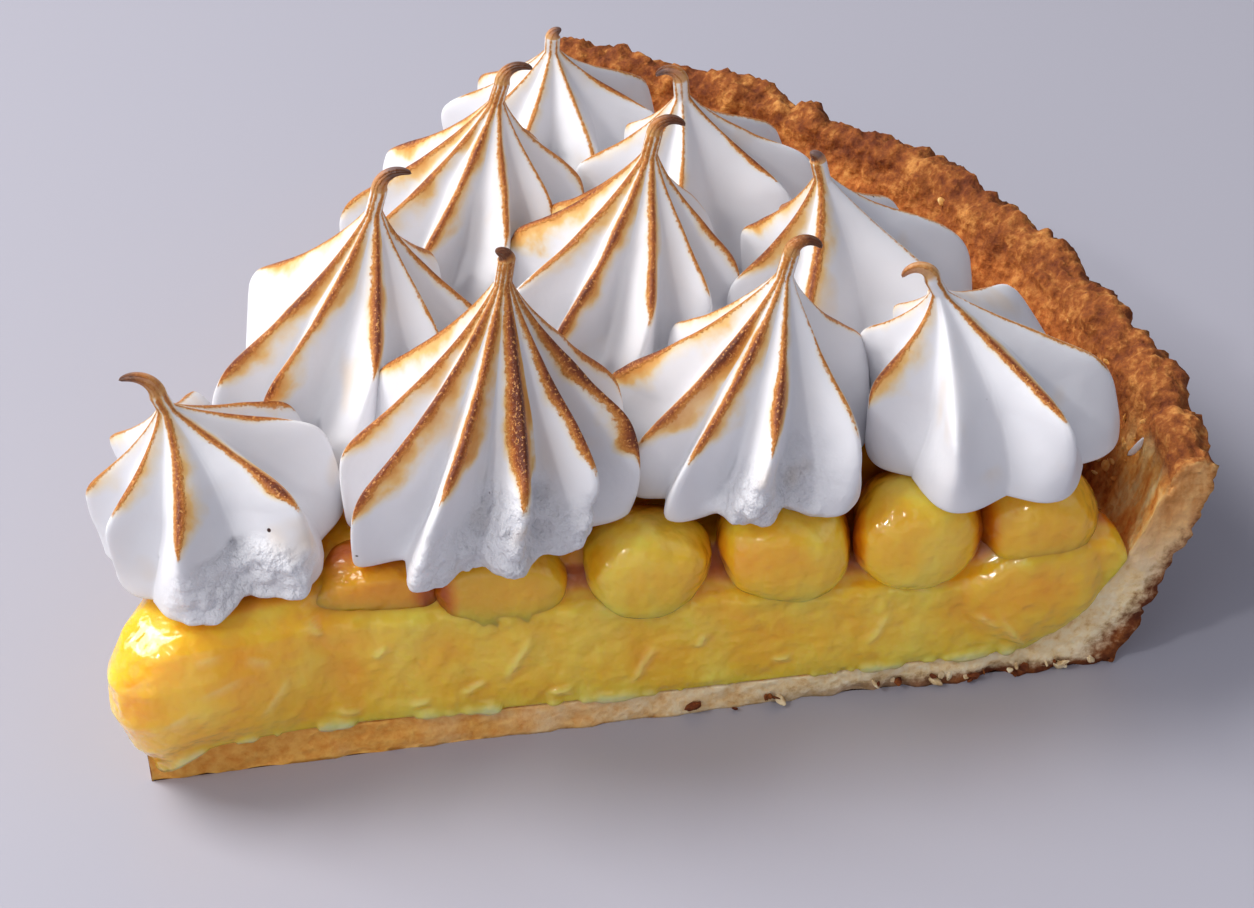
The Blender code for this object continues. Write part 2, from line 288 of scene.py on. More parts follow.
def cell_numbers(cell, seed):
    """A number from -1 to 1 for each cell: its three whole numbers times odd ones, mixed by shifts."""
    mixed = cell[..., 0] * 73856093 ^ cell[..., 1] * 19349663 ^ cell[..., 2] * 83492791 ^ seed * 40503
    mixed = (mixed ^ (mixed >> 15)) * 2246822519 & 0xFFFFFFFF
    mixed = (mixed ^ (mixed >> 13)) * 3266489917 & 0xFFFFFFFF
    return (mixed ^ (mixed >> 16)) / 0x7FFFFFFF - 1


def lumps(points, size, seed=0):
    """Smooth noise from -1 to 1: the numbers of a cell's eight corners, blended by a smooth step."""
    scaled = points / size
    cell = np.floor(scaled).astype(np.int64)
    inside = scaled - cell
    blend = inside ** 3 * (inside * (inside * 6 - 15) + 10)
    total = np.zeros(points.shape[:-1])
    for corner in itertools.product((0, 1), repeat=3):
        weight = np.where(np.array(corner) == 1, blend, 1 - blend).prod(-1)
        total += weight * cell_numbers(cell + np.array(corner), seed)
    return total


def rough(points, size, seed=0, layers=3):
    """Lumps of that size, with finer layers on them, each half as large and half as strong."""
    return sum(lumps(points + 0.37 * size * layer, size / 2 ** layer, seed + layer) / 2 ** layer
               for layer in range(layers))


def domes(points, size, seed=0):
    """Packed round bumps of that size, from -1 to 1: 1 less 2.4 times the squared distance, in cells, to
    the nearest of the points that lie one in each cell."""
    scaled = points / size
    cell = np.floor(scaled).astype(np.int64)
    nearest = np.full(points.shape[:-1], 9.0)
    for step in itertools.product((-1, 0, 1), repeat=3):
        beside = cell + np.array(step)
        spot = beside + 0.5 + 0.4 * np.stack([cell_numbers(beside, seed + axis) for axis in range(3)], -1)
        nearest = np.minimum(nearest, ((scaled - spot) ** 2).sum(-1))
    return np.maximum(1 - 2.4 * nearest, -1)


def step_up(value, low, high):
    """0 below low and 1 above high, with a smooth step between them."""
    share = np.clip((value - low) / (high - low), 0, 1)
    return share * share * (3 - 2 * share)


def directions(angle):
    """Level unit vectors at these angles."""
    return np.stack([np.cos(angle), np.sin(angle), np.zeros_like(angle)], -1)


def reach(angle, radius):
    """Distance from the slice's point, along angle, to the circle of radius about the tart's centre."""
    along = TART_CENTRE[0] * np.cos(angle) + TART_CENTRE[1] * np.sin(angle)
    return along + np.sqrt(along ** 2 + radius ** 2 - (TART_CENTRE ** 2).sum())


def thickening(distance):
    """How much thicker the floor is near the slice's point: a bell curve of the distance from it."""
    return POINT_THICKENING * np.exp(-(distance / THICKENING_LENGTH) ** 2)


def wall_outer(z):
    """Radius of the crust's outer face: a cone that widens evenly from foot to rim."""
    return FOOT_RADIUS + (RIM_RADIUS - FOOT_RADIUS) * z / RIM_HEIGHT


def wall_inner(z):
    """Radius of the inner face: the outer one less a thickness that grows into a fillet at the floor."""
    low = np.clip((RIM_HEIGHT - z) / (RIM_HEIGHT - FLOOR_THICKNESS), 0, 1)
    return wall_outer(z) - WALL_THICKNESS - FILLET * low ** FILLET_POWER


def crust_point(u, v, t):
    """Point of the crust: u runs along the floor and up the wall, v from the outer face to the inner one,
    and t from the front cut to the rear one. Lumps push the crags out and eat into the cuts, most of all
    into their foot, and the rim is crowned by a parabola."""
    on_floor = np.clip(u / FLOOR_SHARE, 0, 1)
    up_wall = np.clip((u - FLOOR_SHARE) / (1 - FLOOR_SHARE), 0, 1)
    outer_z = RIM_HEIGHT * up_wall
    inner_z = FLOOR_THICKNESS + (RIM_HEIGHT - FLOOR_THICKNESS) * up_wall
    outer = np.where(up_wall > 0, wall_outer(outer_z), FOOT_RADIUS * on_floor)
    floor_edge = wall_inner(FLOOR_THICKNESS)
    inner = np.where(up_wall > 0, wall_inner(inner_z), floor_edge * on_floor)
    radius = outer + (inner - outer) * v
    z = outer_z + (inner_z - outer_z) * v + step_up(u, RIM_CROWN_START, 1) * WALL_THICKNESS * v * (1 - v)
    angle = HALF_ANGLE * (2 * t - 1)
    distance = np.where(radius > floor_edge, reach(angle, np.maximum(radius, floor_edge)),
                        reach(angle, floor_edge) * radius / floor_edge)
    outwards = directions(angle)
    flat = outwards * distance[..., None]
    z = z + thickening(distance) * v
    flat[..., 2] = z
    high = z / RIM_HEIGHT
    craggy = (1 - v) * step_up(z, 0, CRAG_SIZE) + v * step_up(high, INNER_CRAGS_START, 1)
    crag = CRAG_DEPTH * rough(flat, CRAG_SIZE, 3) + CRUMB_DEPTH * domes(flat, CRUMB_SIZE, 11) \
        + 0.5 * CRUMB_DEPTH * domes(flat, CRUMB_SIZE / 2, 14)
    points = flat + outwards * (crag * craggy * (1 - 1.6 * v))[..., None]
    points[..., 2] += crag * np.maximum(high, 0) ** 6
    sideways = directions(angle + math.pi / 2)
    near_cut = step_up(np.abs(2 * t - 1), CUT_START, 1) * np.sign(2 * t - 1)
    eaten = CUT_DEPTH * (rough(flat, CUT_CRUMB_SIZE, 23) - 0.6)
    at_foot = step_up(distance, *UNDERCUT_START) * (1 - step_up(z, 0.0, UNDERCUT_HEIGHT))
    eaten = eaten + UNDERCUT_DEPTH * (rough(flat, UNDERCUT_SIZE, 31) - 0.25) * at_foot
    points = points + sideways * (eaten * near_cut)[..., None]
    points[..., 2] = np.maximum(points[..., 2], 0)
    return points


def block_skin(shape, us, vs, ts):
    """Points, quads and (u, v, t) of the six sides of a block whose points are shape(u, v, t)."""
    spots, quads, count = [], [], 0
    for fixed, first, second in ((0, 1, 2), (1, 0, 2), (2, 0, 1)):
        for end in (0, -1):
            axes = [us, vs, ts]
            grids = np.meshgrid(axes[first], axes[second], indexing="ij")
            spot = np.empty((*grids[0].shape, 3))
            spot[..., fixed] = axes[fixed][end]
            spot[..., first], spot[..., second] = grids
            spots.append(spot.reshape(-1, 3))
            quads.append(grid_quads(*grids[0].shape) + count)
            count += grids[0].size
    spots = np.concatenate(spots)
    return shape(*spots.T), np.concatenate(quads), spots


def make_crust_finish():
    """Browned outer faces and rim, with a little painted shade away from the cuts; an inner face that is
    golden near the cuts and turns dark red-brown away from them, which is painted shade under the filling;
    and cuts of pale crumb that is toasted at the rim and moist towards the slice's point."""
    crust = Finish("baked_crust", {"Subsurface Weight": 0.10, "Subsurface Radius": (0.6, 0.35, 0.15),
                                   "Subsurface Scale": 0.004, "Specular IOR Level": 0.25})
    cut, across, out = crust.attribute("cut"), crust.attribute("across"), crust.attribute("out")
    high, behind = crust.attribute("high"), crust.attribute("behind")
    coarse, fine = crust.grain(0.0045, 3.0), crust.grain(0.0011, 4.0, contrast=0.65)
    streak = crust.grain(0.0022, 3.0, where=crust.stretched((1.0, 1.0, 0.18), (0, 0, 0)), contrast=0.6)
    # The browned faces get a little painted shade away from the cuts.
    browned = crust.ramp(coarse * 0.5 + fine * 0.5 + high * 0.10 - 0.04 - behind * 0.03, (
        (0.32, (0.07, 0.014, 0.005)), (0.44, (0.15, 0.035, 0.009)),
        (0.56, (0.29, 0.085, 0.017)), (0.70, (0.62, 0.27, 0.070))))
    golden = crust.ramp(streak * 0.7 + fine * 0.3, (
        (0.34, (0.76, 0.24, 0.035)), (0.46, (0.93, 0.46, 0.11)), (0.60, (0.98, 0.71, 0.31))))
    # Dark roast colour: real toasting where the cut meets the rim, and painted shade on the inner face away
    # from the cuts.
    roast_and_shade = crust.ramp(streak * 0.5 + fine * 0.5, (
        (0.34, (0.21, 0.050, 0.010)), (0.50, (0.47, 0.145, 0.030)), (0.66, (0.72, 0.32, 0.085))))
    inner = crust.mix(golden, roast_and_shade, crust.between(behind + (coarse - 0.5) * 0.5, 0.12, 0.62))
    skin = crust.mix(browned, inner, crust.between(across + (fine - 0.5) * 0.3, 0.72, 0.98)
                     * crust.between(high, 0.98, 0.80))
    crumb = crust.ramp(coarse * 0.35 + fine * 0.65, (
        (0.30, (0.66, 0.38, 0.14)), (0.44, (0.88, 0.65, 0.34)), (0.60, (0.94, 0.79, 0.53))))
    moist = crust.ramp(fine, ((0.3, (0.74, 0.27, 0.036)), (0.65, (0.90, 0.47, 0.10))))
    inside = crust.mix(moist, crumb, crust.between(out + (coarse - 0.5) * 0.4, 0.18, 0.66))
    at_rim = crust.between(high + (fine - 0.5) * 0.4, 0.36, 0.86) * crust.between(out, 0.7, 0.8)
    inside = crust.mix(inside, crust.mix(golden, roast_and_shade, 0.70), at_rim * 0.95)
    edge = crust.between(across + (fine - 0.5) * 0.7 + high * 0.5, 0.62, 0.15)
    inside = crust.mix(inside, browned, edge * crust.between(out, 0.5, 0.8))
    colour = crust.mix(skin, inside, cut)
    height = (crust.cells(0.0010) * 0.5 + fine) * (1 - 0.55 * cut)
    crust.shade(Base_Color=colour, Roughness=0.85 - 0.38 * cut * crust.between(out, 0.6, 0.2),
                Normal=crust.relief(height, 0.00042, crust.relief(coarse, 0.0006)))
    return crust


baked_crust = make_crust_finish()
crust_us = np.concatenate([np.linspace(0, FLOOR_SHARE, FLOOR_STEPS, endpoint=False),
                           np.linspace(FLOOR_SHARE, 1, WALL_STEPS + 1)])
crust_points, crust_quads, crust_spots = block_skin(
    crust_point, crust_us, np.linspace(0, 1, THICKNESS_STEPS + 1), np.linspace(0, 1, ARC_STEPS + 1))
on_cut = (np.abs(crust_spots[:, 2] * 2 - 1) == 1).astype(float)
crust_piece = new_mesh("crust_pastry", crust_points + SLICE_POINT, crust_quads, baked_crust, {
    "cut": on_cut, "across": crust_spots[:, 1],
    "out": np.hypot(crust_points[:, 0], crust_points[:, 1]) / SLICE_LENGTH,
    # Painted shade on the wall: none at the cuts, full in the middle of the arc.
    "behind": step_up(1 - np.abs(crust_spots[:, 2] * 2 - 1), 0.04, 0.42),
    "high": crust_points[:, 2] / RIM_HEIGHT})
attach(crust_piece, "root")
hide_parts("crust")


# The loose crumbs: bits of the same pastry that the knife broke off. They lie along the foot of the front
# cut, where the crust is driest, and cling to the inner face of the wall and to its rim.
FOOT_CRUMBS = 34
FOOT_CRUMB_SPAN = (0.060, 0.105, 0.112)
FOOT_CRUMB_SPREAD = 0.00025
FOOT_CRUMB_HEIGHTS = (0.0003, 0.0016)
WALL_CRUMBS = 60
WALL_CRUMB_START = math.radians(-31.5)
WALL_CRUMB_SPREAD = math.radians(5)
WALL_CRUMB_HEIGHTS = (0.016, 0.0270)
CRUMB_RADII = (0.00022, 0.00070)
CRUMB_ROUND = 14
CRUMB_RINGS = 9


def ball_grid(rings, around):
    """Points of a ball of radius 1, in rings from its lowest point to its highest."""
    azimuth = np.linspace(0, 2 * math.pi, around, endpoint=False)[None]
    polar = np.linspace(-math.pi / 2, math.pi / 2, rings)[:, None]
    ball = directions(azimuth + 0 * polar) * np.cos(polar)[..., None]
    ball[..., 2] = np.sin(polar)
    return ball


def scatter(name, centres, axes, finish, seed, values):
    """One mesh of many dented balls: each has its centre and three half-axes, as the rows of a matrix.
    Nothing of them goes below the slice's underside."""
    ball = ball_grid(CRUMB_RINGS, CRUMB_ROUND)
    count = len(centres)
    spots = np.repeat(ball.reshape(1, -1, 3), count, 0)
    spots = spots * (1 + 0.3 * lumps(spots + np.arange(count)[:, None, None], 0.7, seed))[..., None]
    spots = centres[:, None] + spots @ axes
    spots[..., 2] = np.maximum(spots[..., 2], 0)
    quads = grid_quads(CRUMB_RINGS, CRUMB_ROUND, closed=True)
    quads = quads[None] + np.arange(count)[:, None, None] * ball[..., 0].size
    each = {key: np.repeat(numbers, ball[..., 0].size) for key, numbers in values.items()}
    return new_mesh(name, spots.reshape(-1, 3) + SLICE_POINT, quads.reshape(-1, 4), finish, each)


chance = np.random.default_rng(5)
along = chance.triangular(*FOOT_CRUMB_SPAN, FOOT_CRUMBS)
foot_spots = directions(np.full(FOOT_CRUMBS, -HALF_ANGLE)) * along[:, None]
foot_spots += np.array([-math.sin(HALF_ANGLE), -math.cos(HALF_ANGLE), 0]) \
    * chance.exponential(FOOT_CRUMB_SPREAD, FOOT_CRUMBS)[:, None]
foot_spots[:, 2] = chance.uniform(*FOOT_CRUMB_HEIGHTS, FOOT_CRUMBS)
turned = WALL_CRUMB_START + chance.exponential(WALL_CRUMB_SPREAD, WALL_CRUMBS)
clinging = chance.uniform(*WALL_CRUMB_HEIGHTS, WALL_CRUMBS)
wall_spots = directions(turned) * wall_inner(clinging)[:, None] + np.array([*TART_CENTRE, 0])
wall_spots[:, 2] = clinging
crumb_spots = np.concatenate([foot_spots, wall_spots])
crumb_radii = chance.triangular(CRUMB_RADII[0], CRUMB_RADII[0], CRUMB_RADII[1], len(crumb_spots))
crumb_axes = np.eye(3) + 0.35 * chance.normal(size=(len(crumb_spots), 3, 3))
crumb_axes = crumb_radii[:, None, None] * crumb_axes
on_wall = (np.arange(len(crumb_spots)) >= FOOT_CRUMBS).astype(float)
# The crumbs on the wall carry a little of its painted shade.
crumb_piece = scatter("loose_crumbs", crumb_spots, crumb_axes, baked_crust, 9, {
    "cut": chance.integers(0, 2, len(crumb_spots)) * (1 - on_wall), "across": 0.5 + 0.5 * on_wall,
    "out": 1 + 0 * on_wall, "high": 0.6 * on_wall, "behind": 0.3 * on_wall})
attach(crumb_piece, "root")


# The curd: a thick layer of set lemon curd, cut with the slice. The knife left slanting lips on its cuts
# and dragged its foot down. Its nose bulges out over the point, a low drop has melted into it by the wall,
# and a raised bed in its middle carries the meringue.
CURD_TOP_AT_POINT = 0.0218
CURD_FALL = 0.089
DECK_AT_POINT = 0.0210
DECK_RISE = 0.0062
DECK_LENGTH = 0.038
LEDGE = 0.0122
UNDERSIDE_INSETS = (0.036, 0.010, 0.003)
BED_INSETS = (LEDGE, LEDGE + 0.0006, 0.016, 0.022, 0.036)
SEAT_RISE = (0.0006, 0.0030)
SEAT_RINGS = 22
NOSE_TANGENT = 0.006
NOSE_BULGE = 0.0066
NOSE_LENGTH = 0.014
# Shares of the nose's height, and of its bulge at each of them
NOSE_SHAPE = ((0, 0.2, 0.45, 0.7, 0.92, 1), (0.32, 0.75, 1.0, 0.95, 0.6, 0.4))
SEAT_START = 0.0093
SEAT_END = 0.0276
BACK_AT = 0.122
CURD_SIDE_STEPS = 320
CURD_BACK_STEPS = 60
CURD_NOSE_STEPS = 64
CURD_LEVELS = 62
NOSE_DROOP = 0.0068
EDGE_ROUNDING = 0.0008
HEAP = 0.0050
HEAP_WIDTH = 0.0042
SMEAR_DEPTH = 0.00030
SMEAR_SIZE = (0.004, 0.004, 0.011)
FINE_SMEAR_SIZE = 0.0016
FLAP_SIZE = 0.0030
FLAP_LENGTH = 0.0006
FLAP_THICKNESS = 0.0004
# The low drop's place: how far along the front cut, and how high
LOW_DROP = (0.1010, 0.0132)
LOW_DROP_RADIUS = 0.0080
LOW_DROP_WIDTH = 0.008
LOW_DROP_RISE = 0.0052
LOW_DROP_BULGE = 0.0016
# The lips on the cuts, each by its middle along the cut, its height, its length and its slope in degrees
LIFTS = (
    (0.0100, 0.0154, 0.0036, 20), (0.0139, 0.0176, 0.0026, -30), (0.0059, 0.0119, 0.0030, 42),
    (0.0200, 0.0196, 0.0024, -50), (0.0030, 0.0165, 0.0020, 65), (0.0087, 0.0190, 0.0026, 8),
    (0.0268, 0.0153, 0.0018, 35), (0.0370, 0.0082, 0.0026, 25), (0.0465, 0.0062, 0.0024, 10),
    (0.0228, 0.0072, 0.0024, -12), (0.0307, 0.0070, 0.0022, 15), (0.0626, 0.0111, 0.0018, 60),
    (0.0720, 0.0072, 0.0020, 5), (0.0990, 0.0074, 0.0062, -58), (0.0958, 0.0098, 0.0030, -40),
    (0.0150, 0.0118, 0.0052, 55), (0.0420, 0.0120, 0.0060, 62), (0.0560, 0.0086, 0.0050, 60),
    (0.0830, 0.0098, 0.0040, 58))
LIFT_HEIGHT = 0.00055
LIFT_WIDTH = 0.0011
LIFT_EDGE = 0.00045
RELIEF_REACH = 0.002
# Above this height the top lies between the kisses, where light comes in, so it gets less painted shade
OPEN_HEIGHT = 0.0212

inwards = np.array([math.sin(HALF_ANGLE), math.cos(HALF_ANGLE), 0])
rear_inwards = inwards * np.array([1, -1, 1])


def deck(x):
    """Height on which the kisses stand: it rises from the point and levels out towards the crust."""
    return DECK_AT_POINT + DECK_RISE * (1 - np.exp(-x / DECK_LENGTH))


def ledge(x):
    """Height of the curd where it is cut, falling evenly towards the crust, and always below the deck."""
    return np.minimum(CURD_TOP_AT_POINT - CURD_FALL * x, deck(x) - 2 * GAP)


def seat(x):
    """Top of the curd near the cuts: level with the first kiss at the point, then a ramp to the ledge."""
    share = np.clip((x - SEAT_START) / (SEAT_END - SEAT_START), 0, 1)
    return (deck(x) - 2 * GAP) * (1 - share) + ledge(x) * share


def wedge_outline(inset, back):
    """The slice's outline at each inset from its cuts: the front cut, the back on a circle, the rear cut,
    and an arc round the nose that touches both cuts."""
    inset, back = inset[:, None], back[:, None]
    corner = np.stack([inset / math.sin(HALF_ANGLE), 0 * inset, 0 * inset], -1)
    tart_centre = np.array([*TART_CENTRE, 0])
    from_centre = corner - tart_centre
    starts, ends, turned = [], [], []
    for side in (-1, 1):
        way = directions(np.array([[side * HALF_ANGLE]]))
        along = -(from_centre * way).sum(-1)
        far = along + np.sqrt(along ** 2 + back ** 2 - (from_centre ** 2).sum(-1))
        starts.append(corner + way * NOSE_TANGENT)
        ends.append(corner + way * far[..., None])
        reached = ends[-1] - tart_centre
        turned.append(np.arctan2(reached[..., 1], reached[..., 0]))
    sides, backs, noses = (np.linspace(0, 1, steps, endpoint=False)[None]
                           for steps in (CURD_SIDE_STEPS, CURD_BACK_STEPS, CURD_NOSE_STEPS))
    front_run = starts[0] + (ends[0] - starts[0]) * sides[..., None]
    back_run = tart_centre + directions(turned[0] + (turned[1] - turned[0]) * backs) * back[..., None]
    rear_run = ends[1] + (starts[1] - ends[1]) * sides[..., None]
    nose_angle = math.pi / 2 + HALF_ANGLE + (math.pi - 2 * HALF_ANGLE) * noses
    nose_middle = corner + np.array([NOSE_TANGENT / math.cos(HALF_ANGLE), 0, 0])
    nose_run = nose_middle + directions(nose_angle) * NOSE_TANGENT * math.tan(HALF_ANGLE)
    return np.concatenate([front_run, back_run, rear_run, nose_run], 1)


def curd_levels():
    """Rings of the curd from its underside to its top: inset, share of the side's height, share of the
    seat and of the bed in the height, and nose bulge. The side is rounded over at both of its ends."""
    climb = np.linspace(0, 1, CURD_LEVELS)
    side = np.stack([EDGE_ROUNDING * np.clip((climb - 0.9) / 0.1, 0, 1) ** 2, climb, 0 * climb, 0 * climb,
                     np.interp(climb, *NOSE_SHAPE)], -1)
    under = np.array([(inset, 0, 0, 0, 0) for inset in UNDERSIDE_INSETS])
    seat_inset = np.linspace(1.5 * EDGE_ROUNDING, LEDGE - EDGE_ROUNDING, SEAT_RINGS)
    seated = np.stack([seat_inset, 1 + 0 * seat_inset, step_up(seat_inset, *SEAT_RISE), 0 * seat_inset,
                       NOSE_SHAPE[1][-1] * (1 - step_up(seat_inset, 0, NOSE_TANGENT))], -1)
    bed_inset = np.array(BED_INSETS)
    bed = np.stack([bed_inset, 1 + 0 * bed_inset, 0 * bed_inset, 1 + 0 * bed_inset, 0 * bed_inset], -1)
    return np.concatenate([under, side, seated, bed])


def curd_points():
    """Rings of the outline at the levels, and how far each point is up the side and in from its top. The
    nose is pushed out by a bell curve and droops, the low drop swells the side near the wall, the top is
    heaped up to the bed, and each ring is stretched to end at the wall's inner face."""
    inset, side, seated, bedded, bulge = curd_levels().T
    bottom = FLOOR_THICKNESS + GAP
    height_at_back = bottom + (ledge(BACK_AT) - bottom) * side
    back = wall_inner(height_at_back) - 2 * GAP - np.maximum(0, inset - GAP)
    flat = wedge_outline(inset, back)
    away = flat - np.array([NOSE_LENGTH, 0, 0])
    away /= np.linalg.norm(away, axis=-1, keepdims=True)
    near = np.exp(-(np.linalg.norm(flat, axis=-1) / NOSE_LENGTH) ** 2)
    flat = flat + away * (NOSE_BULGE * bulge[:, None] * near)[..., None]
    x = flat[..., 0]
    along = np.hypot(x, flat[..., 1])
    risen = LOW_DROP_RISE * np.exp(-((along - LOW_DROP[0]) / LOW_DROP_RADIUS) ** 4) \
        * np.exp(-((flat @ inwards) / LOW_DROP_WIDTH) ** 4)
    floor_top = bottom + thickening(along)
    cut_height = floor_top + (ledge(x) + risen - floor_top) * side[:, None] \
        - NOSE_DROOP * near ** 8 * (1 - side[:, None]) ** 2
    heap = HEAP * np.clip((inset - EDGE_ROUNDING) / HEAP_WIDTH, 0, 1) ** 0.8
    heaped = risen + seat(x) + heap[:, None]
    z = cut_height * (1 - seated - bedded)[:, None] \
        + np.minimum(heaped, deck(x) - GAP) * seated[:, None] + (deck(x) - GAP) * bedded[:, None]
    from_centre = flat[..., :2] - TART_CENTRE
    radius = np.linalg.norm(from_centre, axis=-1)
    short = (wall_inner(z) - wall_inner(height_at_back)[:, None] + 1.5 * GAP) \
        * (1 - step_up(inset, 0.001, 0.005))[:, None]
    stretch = 1 + short * step_up(radius, 0.6 * back[:, None], back[:, None]) / radius
    flat[..., :2] = TART_CENTRE + from_centre * stretch[..., None]
    flat[..., 2] = z
    return flat, side[:, None] + 0 * x, seated[:, None] + bedded[:, None] + 0 * x


def with_poles(rows):
    """The rows with the first and the last one repeated, for the rings that shrink to a pole."""
    return np.concatenate([rows[:1], rows, rows[-1:]])


def make_curd_finish(name):
    """Set lemon curd: translucent yellow with a wet gloss, with painted shade that turns it dark orange to
    red-brown and dulls its coat where the mesh carries it, and pale where the knife has dragged it out thin."""
    curd = Finish(name, {"Subsurface Weight": 0.8, "Subsurface Radius": (1.0, 0.58, 0.10),
                         "Subsurface Scale": 0.006, "Specular IOR Level": 0.3, "Coat Roughness": 0.04})
    cloud = curd.grain(0.008, 2.0)
    smear = curd.grain(0.0034, 3.0, where=curd.stretched((1.0, 1.0, 0.25), (0.5, 0.35, 0.0)), contrast=0.5)
    colour = curd.ramp(cloud * 0.6 + smear * 0.4, (
        (0.30, (0.93, 0.40, 0.010)), (0.50, (0.97, 0.53, 0.026)), (0.70, (0.99, 0.68, 0.085))))
    # Painted shade: where the mesh carries it, the colour darkens to orange and red-brown and the coat
    # thins.
    deep = curd.attribute("deep")
    painted_shade_colour = curd.ramp(deep + (cloud - 0.5) * 0.25, (
        (0.0, (0.93, 0.53, 0.035)), (0.40, (0.86, 0.36, 0.010)), (0.75, (0.58, 0.155, 0.003)),
        (1.0, (0.40, 0.080, 0.002))))
    colour = curd.mix(colour, painted_shade_colour, curd.between(deep, 0.02, 0.45))
    colour = curd.mix(colour, (0.98, 0.76, 0.34), curd.attribute("pale"))
    ripple = curd.grain(0.0019, 1.5)
    curd.shade(Base_Color=colour, Roughness=0.06 + 0.16 * smear, Coat_Weight=0.8 - 0.5 * deep,
               Normal=curd.relief(ripple, 0.0006, curd.relief(cloud, 0.0009)))
    return curd


def lifted(along, height):
    """How far the knife lifted the curd at each point of the cut: on one side of each line in LIFTS it
    climbs evenly to a lip, and falls off steeply past it."""
    total = np.zeros_like(along)
    for middle, middle_height, length, slope in LIFTS:
        slope = math.radians(slope)
        lengthwise = (along - middle) * math.cos(slope) + (height - middle_height) * math.sin(slope)
        across = (height - middle_height) * math.cos(slope) - (along - middle) * math.sin(slope)
        lip = np.clip(1 + across / LIFT_WIDTH, 0, 1) * (1 - step_up(across, 0, LIFT_EDGE))
        total = np.maximum(total, lip * np.exp(-(2 * lengthwise / length) ** 4))
    return total


lemon_curd = make_curd_finish("lemon_curd")
curd_grid, curd_side, curd_top = curd_points()
slanted = curd_grid @ np.array([[1, 0, 0.4], [0, 1, 0], [0.4, 0, 1]]) / np.array(SMEAR_SIZE)
smears = rough(slanted, 1.0, 41) + 0.4 * rough(curd_grid, FINE_SMEAR_SIZE, 43)
on_side = step_up(curd_side, 0.0, 0.1) * (1 - step_up(curd_top, 0.0, 0.5))
near_front = np.exp(-(curd_grid @ inwards / RELIEF_REACH) ** 2)
near_rear = np.exp(-(curd_grid @ rear_inwards / RELIEF_REACH) ** 2)
at_foot = np.exp(-(curd_side / 0.05) ** 2) * (curd_top == 0)
flap = at_foot * np.clip(rough(curd_grid * np.array([1, 1, 0.1]), FLAP_SIZE, 47) + 0.15, 0, 1)
along_cut = np.hypot(curd_grid[..., 0], curd_grid[..., 1])
lift = lifted(along_cut, curd_grid[..., 2]) * (curd_top < 0.5)
low_drop = np.hypot(along_cut - LOW_DROP[0], curd_grid[..., 2] - LOW_DROP[1]) / LOW_DROP_RADIUS
low_drop = LOW_DROP_BULGE * np.clip(1 - low_drop ** 2, 0, 1) ** 0.7
push = SMEAR_DEPTH * smears * on_side + FLAP_THICKNESS * step_up(flap, 0.0, 0.3) + LIFT_HEIGHT * lift
curd_grid = curd_grid - (inwards * ((push + low_drop) * near_front)[..., None]
                         + rear_inwards * (push * near_rear)[..., None])
curd_grid[..., 2] -= FLAP_LENGTH * flap * np.maximum(near_front, near_rear)
poles = [np.broadcast_to(ring.mean(0), ring.shape)[None] for ring in (curd_grid[0], curd_grid[-1])]
curd_grid = np.concatenate([poles[0], curd_grid, poles[1]])
# Painted shade on the top under the kisses, lighter where the top lies between them.
curd_painted_shade = step_up(with_poles(curd_top), 0.25, 1.0) * (1 - 0.45 * (curd_grid[..., 2] > OPEN_HEIGHT))
curd_pale = np.maximum(0.8 * step_up(with_poles(flap), 0.05, 0.6), 0.3 * with_poles(lift))
curd_piece = new_mesh("curd_layer", curd_grid.reshape(-1, 3) + SLICE_POINT,
                      grid_quads(*curd_grid.shape[:2], closed=True), lemon_curd,
                      {"deep": curd_painted_shade, "pale": curd_pale})
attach(curd_piece, "root")
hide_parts("curd")


# The drops: balls of the same curd, piped side by side round the edge of the layer before the meringue.
# They have sunk a little onto the layer and against each other, and their skin is wet and dimpled.
DROP_RADIUS = 0.0074
DROP_INSET = 0.0044
DROP_CENTRE_HEIGHT = 0.0208
FRONT_DROPS = (0.0268, 0.0406, 0.0570, 0.0732, 0.0880, 0.1018)
REAR_DROP_START = 0.0280
REAR_DROP_PITCH = 0.0144
REAR_DROP_COUNT = 7
RIM_DROP_RADIUS = 0.0990
RIM_DROP_START = math.radians(-26)
RIM_DROP_PITCH = math.radians(8.9)
RIM_DROP_COUNT = 6
# How far each front drop stands out over the cut, from the slice's point on, and all the other drops
FRONT_OVERHANGS = (-0.0012, 0.0002, 0.0012, 0.0014, 0.0016, 0.0016)
OVERHANG = 0.0014
OVERHANG_SOFTNESS = 0.0028
DROP_PRESS = 0.0006
DROP_PRESS_SOFTNESS = 1e-9
HEADROOM = 0.0004
# Sizes and depths of a drop's dents and nicks, as shares of its radius
DENT_SIZE, DENT_DEPTH = 0.8, 0.085
NICK_SIZE, NICK_DEPTH = 0.4, 0.022
# Neighbours are what stands nearer than that many radii
NEIGHBOUR_RADII = 2.4
# How far a drop sags over a cut, and from where to where across the cut it comes to that
SAG = 0.0050
SAG_REACH = (-0.0012, 0.0004)
COVERED_RADIUS = 0.102
# How much more painted shade the front drops get where the kisses cover them, by their number from 0
FRONT_PAINTED_SHADES = {0: 0.42, 1: 0.24, 3: 0.05, 5: 0.24}
DROP_ROUND = 96
DROP_RINGS = 56


def inset_place(distance, side):
    """Place of a drop at a distance along a cut; side is -1 for the front cut and 1 for the rear one."""
    across = np.array([math.sin(HALF_ANGLE), -side * math.cos(HALF_ANGLE), 0])
    return directions(np.array(side * HALF_ANGLE)) * distance + across * DROP_INSET


